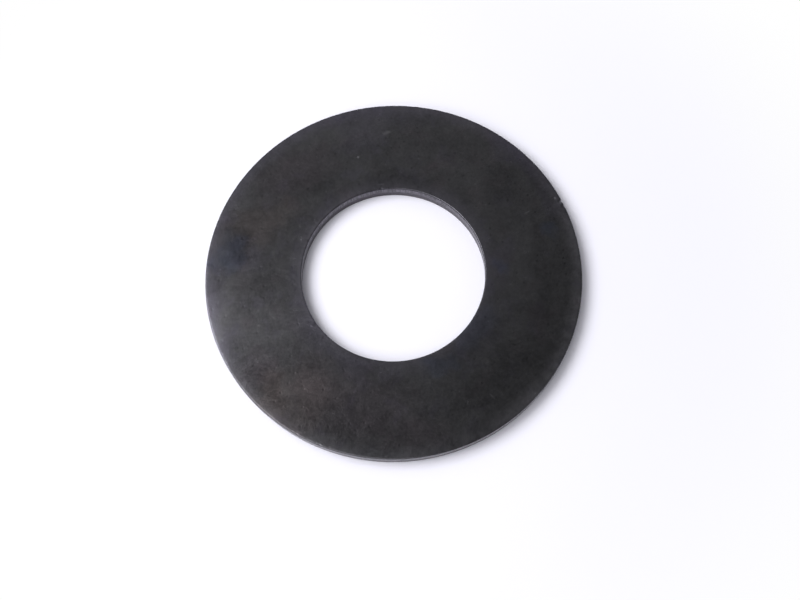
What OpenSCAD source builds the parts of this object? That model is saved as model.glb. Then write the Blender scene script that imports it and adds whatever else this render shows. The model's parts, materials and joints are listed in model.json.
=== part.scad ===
// Plain shim washer, blanked and pierced in one stroke from flat steel sheet.
// It lies flat on Z = 0, and its axis is Z.

/* [Washer] */
// Diameter over the rim
outer_d = 42; // [30:0.5:80]
// Diameter of the hole
bore_d = 20.5; // [6:0.1:28]
// Thickness of the sheet
sheet_t = 2; // [1.2:0.1:4]

/* [Blanked edges] */
// Radius that the press rolls over the upper edge of the rim
rim_roll_r = 0.1; // [0.04:0.01:0.6]
// Radius that the press rolls over the upper edge of the hole
bore_roll_r = 0.12; // [0.04:0.01:0.6]
// Height of the smooth, straight land that the punch leaves below the roll
land_h = 0.8; // [0.3:0.05:1.2]
// Distance that the broken part of each wall leans back from the land at its foot
tear_lean = 0.08; // [0.02:0.01:0.15]
// Bevel that tumbling leaves on the lower edges
edge_break = 0.08; // [0.03:0.01:0.2]

/* [Hidden] */
$fn = 180;

rim_r = outer_d / 2;
bore_r = bore_d / 2;

// The wall of the rim tapers in towards its foot, and the wall of the hole opens out.
rim_foot_r = rim_r - tear_lean;
bore_foot_r = bore_r + tear_lean;

// One side of the sheet's outline ends in a roll, a straight land, a leaning tear and a bevel.
// wall_r and foot_r are the wall's radius at its land and at its foot, and metal is +1 where the
// metal lies outside the wall and -1 where it lies inside.
function wall_points(wall_r, foot_r, roll_r, metal) = [
    [wall_r + metal * roll_r, sheet_t],
    [wall_r, sheet_t - roll_r],
    [wall_r, sheet_t - roll_r - land_h],
    [foot_r, edge_break],
    [foot_r + metal * edge_break, 0]
];

// Round nose that turns the straight cut across an upper corner into its roll
module roll_nose(wall_r, roll_r, metal) {
    translate([wall_r + metal * roll_r, sheet_t - roll_r]) circle(r = roll_r);
}

// Cut through the sheet from the hole to the rim
module section() {
    hole_side = wall_points(bore_r, bore_foot_r, bore_roll_r, 1);
    rim_side = wall_points(rim_r, rim_foot_r, rim_roll_r, -1);
    polygon(concat(hole_side, [for (i = [len(rim_side) - 1 : -1 : 0]) rim_side[i]]));
    roll_nose(bore_r, bore_roll_r, 1);
    roll_nose(rim_r, rim_roll_r, -1);
}

// The whole washer, one piece of black steel
module washer() {
    color("#2c2c2e") rotate_extrude() section();
}

washer();
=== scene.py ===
import bpy
import bmesh
import json
import math
import random
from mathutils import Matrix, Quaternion, Vector, noise


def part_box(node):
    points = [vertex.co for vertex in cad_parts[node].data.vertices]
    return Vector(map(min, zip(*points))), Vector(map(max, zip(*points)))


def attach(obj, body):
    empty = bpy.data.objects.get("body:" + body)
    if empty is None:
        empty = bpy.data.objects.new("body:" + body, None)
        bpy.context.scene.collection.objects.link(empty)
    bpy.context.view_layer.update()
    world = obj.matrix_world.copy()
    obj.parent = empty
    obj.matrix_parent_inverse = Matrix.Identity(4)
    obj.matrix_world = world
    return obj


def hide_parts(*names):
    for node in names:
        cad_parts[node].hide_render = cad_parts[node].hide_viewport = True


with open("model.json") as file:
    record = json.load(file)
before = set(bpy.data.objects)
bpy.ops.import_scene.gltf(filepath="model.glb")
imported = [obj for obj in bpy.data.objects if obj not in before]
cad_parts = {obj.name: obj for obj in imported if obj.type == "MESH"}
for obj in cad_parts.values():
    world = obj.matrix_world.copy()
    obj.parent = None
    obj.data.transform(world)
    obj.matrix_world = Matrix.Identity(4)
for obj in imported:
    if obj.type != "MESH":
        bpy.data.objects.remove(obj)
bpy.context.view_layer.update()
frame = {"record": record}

mm = 0.001
snug = 0.01 * mm  # a point this close to a place is taken to lie on it
scene = bpy.context.scene
washerLow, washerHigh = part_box("washer")
boreMount = [m for m in frame["record"]["mounts"] if m["name"] == "bore"][0]

sizes = {
    "rim": (washerHigh.x - washerLow.x) / 2,
    "bore": boreMount["dims"]["r_mm"] * mm,
    "floor": washerLow.z,
    "top": washerHigh.z,
    "land": boreMount["dims"]["length_mm"] * mm,  # smooth part of both walls, with the mount at its middle
}
sizes["landFoot"] = boreMount["pos_m"][2] - sizes["land"] / 2


# the washer: a blanked ring with rolled upper edges, a smooth land and a torn foot on each wall
washerShape = {
    "segments": 1200,
    "edgeRings": [0.22 * mm, 0.28 * mm, 0.45 * mm],  # widths of the first rings in from each wall
    "faceRings": 8,  # even rings between them
    "boreRoll": 0.12 * mm,
    "rimRoll": 0.10 * mm,
    "rollSteps": 5,
    "edgeBreak": 0.08 * mm,
    "breakSteps": 2,
    "landCuts": 2,
    "tearCuts": 5,
    "tearLean": 0.08 * mm,
    "tearRough": 0.018 * mm,
    "tearGrain": 0.22 * mm,
    "tearStretch": 0.35,  # the grain runs up the wall
    "tearFade": 6,  # the grain is full from a sixth of the way down the tear
    "footLine": 0.03 * mm,  # no grain below this
    "wallReach": 0.35 * mm,  # what lies nearer to a wall than this moves with it
    "rollReach": 0.4 * mm,
    "rollRough": 0.012 * mm,
    "rollWave": 1.6 * mm,
    "sag": 0.012 * mm,  # how far the upper face is out of flat
    "sagWave": 14 * mm,
    "sagRamp": 2 * mm,
    "smoothAngle": 50,
}

# dents in the upper edges: place round the ring in degrees, depth, reach
dents = {
    "rim": [(24.1, 0.12 * mm, 0.26 * mm), (22.3, 0.08 * mm, 0.24 * mm), (-112, 0.03 * mm, 0.24 * mm)],
    "bore": [(158, 0.04 * mm, 0.24 * mm), (-145, 0.06 * mm, 0.26 * mm), (98, 0.03 * mm, 0.30 * mm)],
    "small": 26,  # lesser ones, strewn over both edges
    "smallOnRim": 0.65,  # share of them
    "smallDepth": (0.010, 0.030),  # in millimetres
    "smallReach": (0.12, 0.22),
    "seed": 7,
    "push": 0.7,
    "falloff": 1.5,
    "band": (0.6 * mm, 0.9 * mm),  # how far down and in from the upper edges a dent can reach
}


def deselectAll():
    bpy.ops.object.select_all(action="DESELECT")


def around(co):
    return math.hypot(co.x, co.y)


def wave(co, size):
    # slow noise from 0 to 1
    return noise.noise(co / size) * 0.5 + 0.5


def selectEdges(obj, wanted):
    bm = bmesh.from_edit_mesh(obj.data)
    for part in [*bm.faces, *bm.edges, *bm.verts]:
        part.select = False
    for e in bm.edges:
        e.select_set(wanted(e.verts[0].co, e.verts[1].co))
    bm.select_flush_mode()
    bmesh.update_edit_mesh(obj.data)


def selectFlats(obj):
    # the faces that look straight up or down
    bm = bmesh.from_edit_mesh(obj.data)
    for f in bm.faces:
        f.select_set(abs(f.normal.z) > 0.9)
    bm.select_flush_mode()
    bmesh.update_edit_mesh(obj.data)


def makeBlank(s):
    deselectAll()
    height = sizes["top"] - sizes["floor"]
    bpy.ops.mesh.primitive_cylinder_add(vertices=s["segments"], radius=sizes["rim"], depth=height,
                                        end_fill_type="NGON", location=(0, 0, sizes["floor"] + height / 2))
    ring = bpy.context.active_object
    ring.name = "washer_body"
    bpy.ops.object.transform_apply(location=True, rotation=True, scale=True)
    bpy.ops.object.mode_set(mode="EDIT")
    bpy.ops.mesh.select_mode(type="FACE")
    selectFlats(ring)
    middle = sizes["rim"] - sizes["bore"] - 2 * sum(s["edgeRings"])
    widths = s["edgeRings"] + [middle / s["faceRings"]] * s["faceRings"] + s["edgeRings"][::-1]
    for width in widths:
        bpy.ops.mesh.inset(thickness=width)
    bpy.ops.mesh.bridge_edge_loops()  # pierces the hole
    bpy.ops.mesh.select_mode(type="EDGE")
    return ring


def rollEdge(ring, wall, level, width, steps):
    def onEdge(co):
        return abs(co.z - sizes[level]) < snug and abs(around(co) - sizes[wall]) < snug

    selectEdges(ring, lambda a, b: onEdge(a) and onEdge(b))
    bpy.ops.mesh.bevel(offset=width, offset_type="OFFSET", segments=steps, profile=0.5, affect="EDGES")


def between(low, high, count):
    return [low + (high - low) * (i + 1) / (count + 1) for i in range(count)]


def cutWalls(s):
    tearFoot = sizes["floor"] + s["edgeBreak"]
    landTop = sizes["landFoot"] + sizes["land"]
    heights = [sizes["landFoot"]]
    heights += between(tearFoot, sizes["landFoot"], s["tearCuts"])
    heights += between(sizes["landFoot"], landTop, s["landCuts"])
    for z in heights:
        bpy.ops.mesh.select_all(action="SELECT")
        bpy.ops.mesh.bisect(plane_co=(0, 0, z), plane_no=(0, 0, 1))


def tearWalls(ring, s):
    tearHeight = sizes["landFoot"] - sizes["floor"] - s["edgeBreak"]
    for v in ring.data.vertices:
        r = around(v.co)
        toRim = sizes["rim"] - r
        toBore = r - sizes["bore"]
        gap = min(toRim, toBore)
        if gap < s["wallReach"] and v.co.z < sizes["landFoot"] + snug:
            intoMetal = Vector((v.co.x / r, v.co.y / r, 0)) * (-1 if toRim < toBore else 1)
            depth = min(1, (sizes["landFoot"] - v.co.z) / tearHeight)
            grain = noise.noise(Vector((v.co.x, v.co.y, v.co.z * s["tearStretch"])) / s["tearGrain"])
            rough = s["tearRough"] * max(0, grain) * min(1, depth * s["tearFade"])
            if v.co.z <= s["footLine"]:
                rough = 0
            v.co += intoMetal * (s["tearLean"] * depth + rough)
        elif gap < s["rollReach"] and v.co.z > sizes["landFoot"] + sizes["land"]:
            v.co.z -= s["rollRough"] * wave(v.co, s["rollWave"]) * max(0, 1 - gap / s["rollReach"])
        elif v.co.z > sizes["top"] - snug:
            v.co.z -= s["sag"] * wave(v.co, s["sagWave"]) * min(1, (gap - s["wallReach"]) / s["sagRamp"])
    ring.data.update()


def allDents(d):
    draw = random.Random(d["seed"])
    found = [(edge, *dent) for edge in ("rim", "bore") for dent in d[edge]]
    for _ in range(d["small"]):
        edge = "rim" if draw.random() < d["smallOnRim"] else "bore"
        degrees = draw.uniform(0, 360)
        depth = draw.uniform(*d["smallDepth"]) * mm
        reach = draw.uniform(*d["smallReach"]) * mm
        found.append((edge, degrees, depth, reach))
    return found


def dentEdges(ring, d):
    down, across = d["band"]
    upper = [v for v in ring.data.vertices if v.co.z > sizes["top"] - down
             and min(sizes["rim"] - around(v.co), around(v.co) - sizes["bore"]) < across]
    for edge, degrees, depth, reach in allDents(d):
        turn = math.radians(degrees)
        outward = Vector((math.cos(turn), math.sin(turn), 0))
        place = outward * sizes[edge] + Vector((0, 0, sizes["top"]))
        intoMetal = outward * (-1 if edge == "rim" else 1) - Vector((0, 0, 1))
        for v in upper:
            nearness = 1 - ((v.co - place).length / reach) ** 2
            if nearness > 0:
                v.co += intoMetal * depth * nearness ** d["falloff"] * d["push"]
    ring.data.update()


def makeWasher(s, d):
    ring = makeBlank(s)
    rollEdge(ring, "rim", "top", s["rimRoll"], s["rollSteps"])
    rollEdge(ring, "bore", "top", s["boreRoll"], s["rollSteps"])
    rollEdge(ring, "rim", "floor", s["edgeBreak"], s["breakSteps"])
    rollEdge(ring, "bore", "floor", s["edgeBreak"], s["breakSteps"])
    cutWalls(s)
    bpy.ops.mesh.select_all(action="SELECT")
    bpy.ops.mesh.normals_make_consistent(inside=False)
    bpy.ops.object.mode_set(mode="OBJECT")
    tearWalls(ring, s)
    dentEdges(ring, d)
    bpy.ops.object.shade_smooth_by_angle(angle=math.radians(s["smoothAngle"]))
    return ring


patchFade = (1.25, 0.3)  # a patch is gone at the first and full at the second, in its half sizes
dotsFade = 0.05


class Wire:
    # a socket to reckon with: +, - and * add Math nodes
    def __init__(self, tree, socket=None):
        self.tree = tree
        self.socket = socket

    def node(self, kind, setup=None, inputs=None, output=0):
        made = self.tree.nodes.new(kind)
        for key, value in (setup or {}).items():
            setattr(made, key, value)
        for key, value in (inputs or {}).items():
            if isinstance(value, Wire):
                self.tree.links.new(value.socket, made.inputs[key])
            else:
                made.inputs[key].default_value = value
        return Wire(self.tree, made.outputs[output] if len(made.outputs) else None)

    def maths(self, operation, a, b, clamp=False):
        return self.node("ShaderNodeMath", {"operation": operation, "use_clamp": clamp}, {0: a, 1: b})

    def __add__(self, other):
        return self.maths("ADD", self, other)

    __radd__ = __add__

    def __mul__(self, other):
        return self.maths("MULTIPLY", self, other)

    __rmul__ = __mul__

    def __sub__(self, other):
        return self.maths("SUBTRACT", self, other)

    def __rsub__(self, other):
        return self.maths("SUBTRACT", other, self)

    def clamped(self):
        return self.maths("ADD", self, 0.0, clamp=True)

    def smooth(self, low, high):
        return self.node("ShaderNodeMapRange", {"interpolation_type": "SMOOTHSTEP"},
                         {"Value": self, "From Min": low, "From Max": high})

    def vector(self, operation, a, b, output=0):
        second = "Scale" if operation == "SCALE" else 1
        return self.node("ShaderNodeVectorMath", {"operation": operation}, {0: a, second: b}, output)

    def length(self, a):
        return self.node("ShaderNodeVectorMath", {"operation": "LENGTH"}, {0: a}, "Value")

    def height(self, place):
        return self.node("ShaderNodeSeparateXYZ", {}, {0: place}, "Z")

    def turned(self, place, degrees):
        return self.node("ShaderNodeVectorRotate", {"rotation_type": "Z_AXIS"},
                         {"Vector": place, "Angle": math.radians(degrees)})

    def blend(self, amount, a, b, kind="MIX"):
        return self.node("ShaderNodeMix", {"data_type": "RGBA", "blend_type": kind},
                         {0: amount, 6: a, 7: b}, 2)

    def stain(self, amount, colour, change):
        return self.blend(amount, colour, change, "MULTIPLY")

    def grain(self, place, scale, detail, rough, output=0):
        return self.node("ShaderNodeTexNoise", {"noise_dimensions": "3D"},
                         {"Vector": place, "Scale": scale, "Detail": detail, "Roughness": rough}, output)

    def dots(self, place, scale, small, large, share):
        # round spots of soft edge in the cells that a share picks
        cells = self.node("ShaderNodeTexVoronoi", {"feature": "F1"}, {"Vector": place, "Scale": scale})
        cellColour = Wire(self.tree, cells.socket.node.outputs["Color"])
        chance = self.node("ShaderNodeSeparateColor", {}, {0: cellColour})
        return (1 - cells.smooth(small, large)) * chance.smooth(share, share + dotsFade)

    def side(self, place, radius, x, y, low, high):
        # 0 on the far side of a ring and 1 on the side that the direction x, y points to
        return self.vector("DOT_PRODUCT", place, (x / radius, y / radius, 0), "Value").smooth(low, high)

    def patch(self, place, x, y, length, width, degrees):
        # a soft oval: 1 in its middle, 0 outside
        local = self.turned(self.vector("SUBTRACT", place, (x, y, 0)), -degrees)
        return self.length(self.vector("MULTIPLY", local, (1 / length, 1 / width, 0))).smooth(*patchFade)

    def patches(self, place, rows):
        return sum(self.patch(place, *oval) * strength for *oval, strength in rows)

    def seen(self):
        # 1 for the rays by which the camera, a gloss or a glass sees the backdrop,
        # 0 for those that carry light to the washer
        kinds = ("Is Camera Ray", "Is Glossy Ray", "Is Transmission Ray")
        return self.maths("MINIMUM", sum(self.node("ShaderNodeLightPath", output=kind) for kind in kinds), 1)


def emptyTree(owner):
    owner.use_nodes = True
    owner.node_tree.nodes.clear()
    return Wire(owner.node_tree)


# places, widths and reaches are in millimetres, tones are shares of the step from dark to pale
oxide = {
    "dark": (0.0248, 0.0246, 0.0266, 1),
    "pale": (0.0770, 0.0766, 0.0818, 1),
    "land": (0.175, 0.160, 0.190, 1),
    "torn": (0.095, 0.082, 0.106, 1),
    "roughness": 0.25,
    "landRoughness": 0.30,
    "tornRoughness": 0.42,
    "mottleRoughness": 0.06,
    "pebbleRoughness": 0.08,
    "bumpStrength": 0.20,
    "bumpDepth": 0.03 * mm,
    "bumps": {"pebble": 0.6, "fine": 0.4, "pits": 0.8},
    "grains": {  # scale, detail, roughness
        "clouds": (0.22, 2, 0.5),
        "mottle": (0.85, 3, 0.6),
        "pebble": (3.2, 3, 0.7),
        "fine": (9, 2, 0.6),
        "hue": (0.4, 3, 0.6),
        "warp": (0.35, 3, 0.6),
        "dragLines": (1.6, 2, 0.7),
        "dragBreaks": (0.14, 1, 0.5),
        "streaks": (7, 2, 0.6),
        "crumbs": (6, 3, 0.7),
        "wander": (1.1, 2, 0.5),
    },
    "specks": (0.95, 0.05, 0.11, 0.62),  # scale, radii of full and no strength, share of cells without one
    "pits": (1.35, 0.10, 0.26, 0.55),
    "warpReach": 4,  # how far the patches are bent out of shape
    "upperFrom": (0.70, 0.75),  # shares of the height above which the upper face's own marks show

    "middle": 0.47,  # tone where nothing else has changed it
    "cloudTone": 0.45,
    "mottleTone": 0.40,
    "pebbleTone": 0.68,
    "speckTone": 0.40,
    "pitTone": 0.20,
    "edgeRub": 0.24,
    "edgeRubReach": (0.1, 1.8),
    "rimRub": (0.12, 0.82),  # gain at the rim: all round, and more on the right-hand side
    "rimRubReach": (0, 1.8),
    "rimRubMottle": (0.75, 1.2),
    "rimRubSide": (0.94, -0.34, 0.2, 1.1),  # direction, and how far along it in radii: from, full
    "boreRub": 0.26,  # painted highlight at the left edge of the hole
    "boreRubReach": (0.15, 0.55),
    "boreRubSide": (-1, 0, 0.2, 0.9),

    "stains": {  # what a stain does to red, green and blue
        "rosy": (1.075, 1.0, 1.035, 1),
        "brown": (1.080, 1.0, 0.960, 1),
        "mauve": (1.045, 1.0, 1.170, 1),
        "blue": (0.920, 1.0, 1.190, 1),
    },
    "rimCast": (0.2, 0.45),  # mauve along the rim: all round, and more on the far side
    "rimCastReach": (0.1, 2.0),
    "rimCastSide": (-0.3, 0.95, -0.4, 0.5),
    "boreCast": 0.50,
    "boreCastReach": (0.1, 2.4),
    "hues": [("rosy", 0.52, 0.72, 0.5), ("mauve", 0.48, 0.30, 0.4)],  # stain, from, full, strength
    "hueShift": (31, 17, 0),
    "drags": [(4, 0.10), (62, 0.07), (-38, 0.06)],  # lines left by other parts: direction, strength
    "dragStretch": (2.6, 0.12, 1),
    "dragFrom": (0.60, 0.72),  # levels of the noise between which a line comes up
    "dragGoesOn": (0.46, 0.60),  # and between which it isn't broken off

    "wallBelow": (0.08, 0.26),  # how far under the upper face the wall's own finish starts
    "wallDepth": (0.12, 0.20),  # and how far in from the wall it ends
    "wallFoot": (0.02, 0.08),
    "wallContrast": (0.25, 0.75),
    "streakStretch": (1, 1, 0.12),
    "tornWander": 0.5,
    "tornBlur": 0.05,

    # painted sheen and shade: the lighter ovals on the left half and at the top lie where the lamps'
    # reflection falls, and the two broad dark ones at the bottom and lower left damp it; the rest are the
    # oxide's uneven tone
    "tones": [  # x, y, half length, half width, turn, strength
        (-19.0, -5.0, 4.8, 1.5, 76, 0.32),
        (-13.0, -6.0, 4.6, 2.6, 8, 0.22),
        (-10.5, 17.0, 5.5, 2.4, 32, 0.12),
        (-17.5, 9.5, 4.2, 2.0, 62, 0.10),
        (-8.5, 11.0, 4.5, 2.2, 24, -0.12),
        (-17.2, 3.4, 1.8, 2.2, 20, -0.26),
        (-14.0, -1.0, 2.5, 1.5, 0, -0.10),
        (-11.0, -10.8, 5.2, 1.3, 4, -0.14),
        (0.0, -13.2, 3.8, 1.5, 0, -0.12),
        (12.2, 11.0, 5.0, 2.4, -52, -0.14),
        (16.2, 1.0, 7.5, 1.4, 92, -0.13),
        (12.3, -11.3, 5.8, 2.4, 42, -0.15),
        (12.3, 1.5, 5.5, 1.7, 90, 0.06),
        (3.0, -11.8, 3.6, 1.0, 10, 0.08),
        (7.0, -17.6, 3.2, 1.6, 20, 0.10),
        (6.5, 15.2, 3.6, 1.8, -15, -0.16),
        (8.8, -19.2, 8.5, 1.9, 25, -0.24),
        (16.4, 13.0, 8.5, 1.9, -52, -0.24),
        (0.5, 11.0, 6.5, 1.5, 0, -0.20),
        (-4.0, -17.6, 7.5, 3.6, -12, -0.18),
        (-14.2, -13.6, 6.5, 2.6, -45, -0.20),
        (-3.8, 18.2, 6.0, 2.4, 10, 0.20),
    ],
    "tints": [  # stain, x, y, half length, half width, turn, strength
        ("rosy", -11.2, 12.4, 5.6, 3.0, 34, 0.90),
        ("rosy", 5.2, 13.2, 2.8, 1.2, 12, 0.70),
        ("rosy", -3.0, -15.2, 7.4, 4.2, -8, 0.80),
        ("rosy", 3.2, -18.2, 3.5, 2.0, 10, 0.70),
        ("rosy", -8.5, -11.2, 3.4, 2.0, -35, 0.40),
        ("rosy", -14.6, -11.4, 2.4, 2.4, 0, 0.75),
        ("rosy", 16.2, -5.8, 1.1, 2.6, 10, 0.60),
        ("brown", -15.2, 5.8, 4.8, 2.9, 24, 1.00),
        ("brown", -11.8, 8.6, 1.6, 1.3, 0, 0.60),
        ("brown", -10.4, -14.4, 5.0, 4.2, 20, 1.00),
        ("brown", -13.2, -13.2, 1.8, 2.8, 10, 0.60),
        ("mauve", -2.5, 19.2, 8.0, 1.9, 2, 0.42),
        ("mauve", -3.8, 16.3, 2.8, 2.0, 15, 0.45),
        ("mauve", 13.8, 14.4, 4.8, 1.4, -48, 0.50),
        ("mauve", 17.8, 8.2, 3.0, 1.2, -66, 0.45),
        ("mauve", -16.0, 1.8, 1.8, 1.8, 0, 0.45),
        ("mauve", -19.8, -3.5, 2.6, 1.1, 80, 0.35),
        ("mauve", -18.4, -8.2, 2.8, 1.4, 62, 0.40),
        ("mauve", -9.0, -7.4, 4.2, 1.8, -48, 0.30),
        ("mauve", -4.0, -11.4, 2.8, 1.1, -22, 0.45),
        ("mauve", 9.6, -7.6, 5.2, 1.8, 48, 0.20),
        ("mauve", 11.9, 1.5, 3.4, 1.3, 88, 0.50),
        ("blue", -18.6, 2.2, 2.8, 1.8, 75, 1.00),
        ("blue", -17.2, 3.8, 1.3, 0.9, 10, 0.45),
        ("blue", 17.9, 4.9, 1.2, 1.1, 0, 0.90),
        ("blue", 12.1, 0.8, 1.1, 0.9, 0, 0.70),
        ("blue", 9.2, -6.7, 3.6, 1.6, 50, 0.50),
        ("blue", 5.2, -10.6, 2.2, 1.0, 20, 0.70),
    ],
    "marks": [  # bright rubs, specks and scratches, and painted glints: x, y, half length, half width, turn, gain
        (-0.8, 17.4, 0.62, 0.32, 24, 0.50),
        (-0.6, 17.5, 0.32, 0.16, 24, 0.35),
        (-4.1, 14.3, 0.16, 0.16, 0, 1.40),
        (-14.8, -6.1, 0.14, 0.12, 0, 0.90),
        (-14.9, -4.4, 0.15, 0.12, 40, 0.55),
        (-13.2, -5.2, 0.38, 0.09, -45, 0.45),
        (-9.5, -13.3, 0.12, 0.12, 0, 1.10),
        (15.2, 7.2, 0.42, 0.07, 30, 0.80),
        (10.6, -14.2, 0.45, 0.07, -50, 0.80),
        # painted glints at the two nicks in the rim
        (18.4, 8.9, 0.17, 0.13, -60, 2.20),
        (18.95, 8.38, 0.24, 0.11, -66, 1.80),
        # painted glints at nicks in the edge of the hole
        (-10.4, 4.1, 0.13, 0.09, 70, 0.60),
        (-9.0, -6.2, 0.20, 0.10, -35, 1.00),
        (-1.4, 10.8, 0.50, 0.07, 6, 0.60),
    ],
}


def oxideFields(w, o):
    # what the colours, the roughness and the bumps all go by
    rim, bore, top, landFoot = (sizes[key] / mm for key in ("rim", "bore", "top", "landFoot"))
    place = w.vector("SCALE", w.node("ShaderNodeTexCoord", output="Object"), 1 / mm)
    z = w.height(place)
    radius = w.length(w.vector("MULTIPLY", place, (1, 1, 0)))
    toRim = rim - radius
    toBore = radius - bore
    gap = w.maths("MINIMUM", toRim, toBore)

    # one warp bends every patch, so that none keeps the outline of an oval
    shift = w.vector("SUBTRACT", w.grain(place, *o["grains"]["warp"], "Color"), (0.5, 0.5, 0.5))
    bent = w.vector("ADD", place, w.vector("MULTIPLY", shift, (o["warpReach"], o["warpReach"], 0)))

    wall = (top - z).smooth(*o["wallBelow"]) * (1 - gap.smooth(*o["wallDepth"])) * z.smooth(*o["wallFoot"])
    wander = (w.grain(place, *o["grains"]["wander"]) - 0.5) * o["tornWander"]
    tornEdge = (z + wander).smooth(landFoot - o["tornBlur"], landFoot + o["tornBlur"])
    return {
        "rim": rim,
        "bore": bore,
        "place": place,
        "bent": bent,
        "toRim": toRim,
        "toBore": toBore,
        "gap": gap,
        "upper": z.smooth(*(top * share for share in o["upperFrom"])),
        "wall": wall,
        "torn": 1 - tornEdge,
        "mottle": w.grain(place, *o["grains"]["mottle"]) - 0.5,
        "pebble": w.grain(place, *o["grains"]["pebble"]) - 0.5,
        "pits": w.dots(place, *o["pits"]),
    }


def faceToneAndSheen(w, o, f):
    clouds = w.grain(f["bent"], *o["grains"]["clouds"]) - 0.5
    tone = o["middle"] + clouds * o["cloudTone"] + f["mottle"] * o["mottleTone"]
    tone = tone + f["pebble"] * o["pebbleTone"]
    tone = tone + (1 - f["gap"].smooth(*o["edgeRubReach"])) * o["edgeRub"]
    # painted sheen on the left half and painted shade at the lower left, with the oxide's uneven tone
    tone = tone + f["upper"] * w.patches(f["bent"], o["tones"])
    for turn, strength in o["drags"]:
        along = w.turned(f["place"], turn)
        lines = w.grain(w.vector("MULTIPLY", along, o["dragStretch"]), *o["grains"]["dragLines"])
        breaks = w.grain(along, *o["grains"]["dragBreaks"])
        tone = tone + lines.smooth(*o["dragFrom"]) * breaks.smooth(*o["dragGoesOn"]) * strength
    return (tone + w.dots(f["place"], *o["specks"]) * o["speckTone"] - f["pits"] * o["pitTone"]).clamped()


def faceStains(w, o, f, colour):
    # the oxide's own mauve cast along the edges, drifts of hue all over, then the patches
    farSide = w.side(f["place"], f["rim"], *o["rimCastSide"])
    rimCast = (1 - f["toRim"].smooth(*o["rimCastReach"])) * (o["rimCast"][0] + farSide * o["rimCast"][1])
    boreCast = (1 - f["toBore"].smooth(*o["boreCastReach"])) * o["boreCast"]
    colour = w.stain(rimCast + boreCast, colour, o["stains"]["mauve"])
    hue = w.grain(w.vector("ADD", f["bent"], o["hueShift"]), *o["grains"]["hue"])
    for name, low, high, strength in o["hues"]:
        colour = w.stain(hue.smooth(low, high) * strength, colour, o["stains"][name])
    for name, *oval, strength in o["tints"]:
        amount = f["upper"] * w.patch(f["bent"], *oval) * strength
        colour = w.stain(amount, colour, o["stains"][name])
    return colour


def faceGain(w, o, f):
    # brighter along the rim, more on its right-hand side; a painted highlight on the left edge of the hole;
    # small bright rubs and specks, and painted glints at nicks in the edges
    rimRub = o["rimRub"][0] + w.side(f["place"], f["rim"], *o["rimRubSide"]) * o["rimRub"][1]
    uneven = o["rimRubMottle"][0] + f["mottle"] * o["rimRubMottle"][1]
    atRim = (1 - f["toRim"].smooth(*o["rimRubReach"])) * rimRub * uneven
    # painted highlight along the left edge of the hole
    boreRub = w.side(f["place"], f["bore"], *o["boreRubSide"]) * o["boreRub"]
    atBore = (1 - f["toBore"].smooth(*o["boreRubReach"])) * boreRub
    return 1 + f["upper"] * (atRim + atBore + w.patches(f["place"], o["marks"]))


def faceColour(w, o, f):
    colour = w.blend(faceToneAndSheen(w, o, f), o["dark"], o["pale"])
    return w.vector("SCALE", faceStains(w, o, f, colour), faceGain(w, o, f))


def wallColour(w, o, f):
    # fine lines down the land, coarse grain in the torn foot
    stretched = w.vector("MULTIPLY", f["place"], o["streakStretch"])
    streaks = w.grain(stretched, *o["grains"]["streaks"]).smooth(*o["wallContrast"])
    crumbs = w.grain(f["place"], *o["grains"]["crumbs"]).smooth(*o["wallContrast"])
    return w.blend(f["torn"], w.blend(streaks, o["dark"], o["land"]), w.blend(crumbs, o["dark"], o["torn"]))


def makeOxide(o):
    material = bpy.data.materials.new("black_oxide")
    w = emptyTree(material)
    f = oxideFields(w, o)
    base = w.blend(f["wall"], faceColour(w, o, f), wallColour(w, o, f))
    wallRough = o["landRoughness"] + f["torn"] * (o["tornRoughness"] - o["landRoughness"])
    rough = o["roughness"] + f["wall"] * (wallRough - o["roughness"])
    rough = rough + f["mottle"] * o["mottleRoughness"] + f["pebble"] * o["pebbleRoughness"]
    fine = w.grain(f["place"], *o["grains"]["fine"])
    bumps = f["pebble"] * o["bumps"]["pebble"] + fine * o["bumps"]["fine"] - f["pits"] * o["bumps"]["pits"]
    bump = w.node("ShaderNodeBump", {},
                  {"Strength": o["bumpStrength"], "Distance": o["bumpDepth"], "Height": bumps})
    shader = w.node("ShaderNodeBsdfPrincipled", {},
                    {"Base Color": base, "Metallic": 1.0, "Roughness": rough, "Normal": bump})
    w.node("ShaderNodeOutputMaterial", {}, {"Surface": shader})
    return material


stage = {
    "floorSize": 3.0,
    "floorColour": (0.875, 0.870, 0.960, 1),
    "white": (1, 1, 1, 1),
    "whiteFloor": (0.023, 0.06),  # how far off the floor starts to turn to plain white, and where it is done
    "horizon": (0.15, 0.85),  # heights between which the white backdrop goes over into the room
    "room": 0.25,
    "lamps": {  # place, size, power
        "key_light": ((-0.162, 0.013, 0.26), 0.20, 0.66),
        "front_light": ((-0.12, -0.12, 0.30), 0.30, 0.54),
        "back_light": ((-0.06, 0.20, 0.30), 0.30, 0.10),
    },
}


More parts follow.
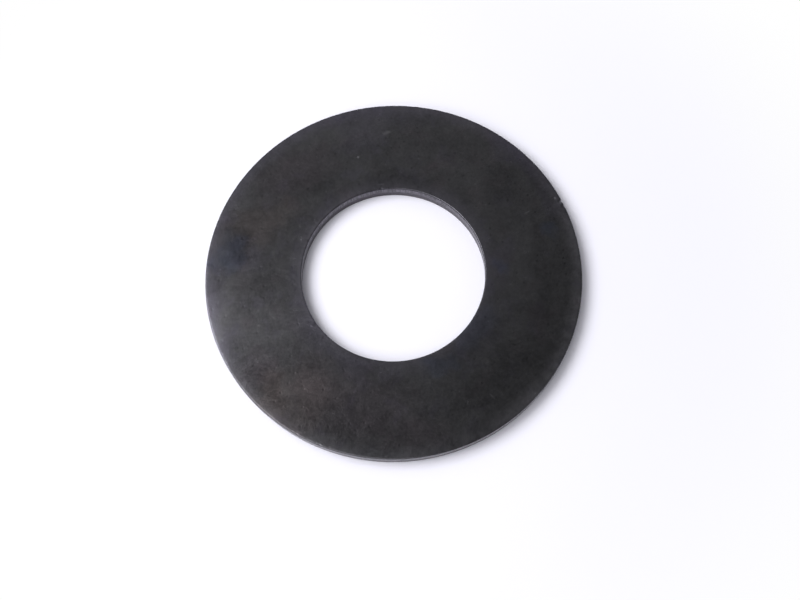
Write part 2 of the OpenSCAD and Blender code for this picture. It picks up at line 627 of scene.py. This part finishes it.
def makeFloor(s):
    deselectAll()
    bpy.ops.mesh.primitive_plane_add(size=s["floorSize"], location=(0, 0, sizes["floor"]))
    floor = bpy.context.active_object
    floor.name = "floor"
    material = bpy.data.materials.new("pale_floor")
    w = emptyTree(material)
    away = w.length(w.node("ShaderNodeTexCoord", output="Object"))
    paper = w.node("ShaderNodeBsdfDiffuse", {}, {"Color": s["floorColour"]})
    backdrop = w.node("ShaderNodeEmission", {}, {"Color": s["white"], "Strength": 1.0})
    shader = w.node("ShaderNodeMixShader", {},
                    {0: w.seen() * away.smooth(*s["whiteFloor"]), 1: paper, 2: backdrop})
    w.node("ShaderNodeOutputMaterial", {}, {"Surface": shader})
    material.cycles.emission_sampling = "NONE"  # the white is seen, and lights nothing
    floor.data.materials.append(material)


def makeRoom(s):
    world = bpy.data.worlds.new("studio")
    scene.world = world
    w = emptyTree(world)
    height = w.height(w.node("ShaderNodeTexCoord", output="Generated"))
    backdrop = w.seen() * (1 - height.smooth(*s["horizon"]))
    room = w.node("ShaderNodeBackground", {},
                  {"Color": s["white"], "Strength": s["room"] + backdrop * (1 - s["room"])})
    w.node("ShaderNodeOutputWorld", {}, {"Surface": room})


def makeLamps(s):
    for name, (place, size, power) in s["lamps"].items():
        deselectAll()
        bpy.ops.object.light_add(type="AREA", location=place)
        lamp = bpy.context.active_object
        lamp.name = name
        lamp.data.shape = "DISK"
        lamp.data.size = size
        lamp.data.energy = power
        lamp.rotation_mode = "QUATERNION"
        lamp.rotation_quaternion = Vector(place).to_track_quat("Z", "Y")


camera = {
    "aim": (0.75 * mm, -3.25 * mm, 2.0 * mm),
    "azimuth": 3.2,
    "elevation": 70.8,
    "distance": 121.5 * mm,
    "roll": -3.4,
    "lens": 49.5,
    "sensor": 36,
    "clipFrom": 5 * mm,
}


def makeCamera(c):
    turn, rise = math.radians(c["azimuth"]), math.radians(c["elevation"])
    back = Vector((math.sin(turn) * math.cos(rise), -math.cos(turn) * math.cos(rise), math.sin(rise)))
    bpy.ops.object.camera_add(location=Vector(c["aim"]) + back * c["distance"])
    cam = bpy.context.active_object
    cam.name = "camera"
    roll = Quaternion((0, 0, 1), math.radians(c["roll"]))
    cam.rotation_mode = "QUATERNION"
    cam.rotation_quaternion = (-back).to_track_quat("-Z", "Y") @ roll
    cam.data.sensor_width = c["sensor"]
    cam.data.lens = c["lens"]
    cam.data.clip_start = c["clipFrom"]
    scene.camera = cam


scene.view_settings.view_transform = "Standard"
makeFloor(stage)
makeRoom(stage)
makeLamps(stage)
print("stage made")
makeCamera(camera)
print("camera made")
washer = makeWasher(washerShape, dents)
washer.data.materials.append(makeOxide(oxide))
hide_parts("washer")
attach(washer, "root")
print("washer made,", len(washer.data.polygons), "faces")
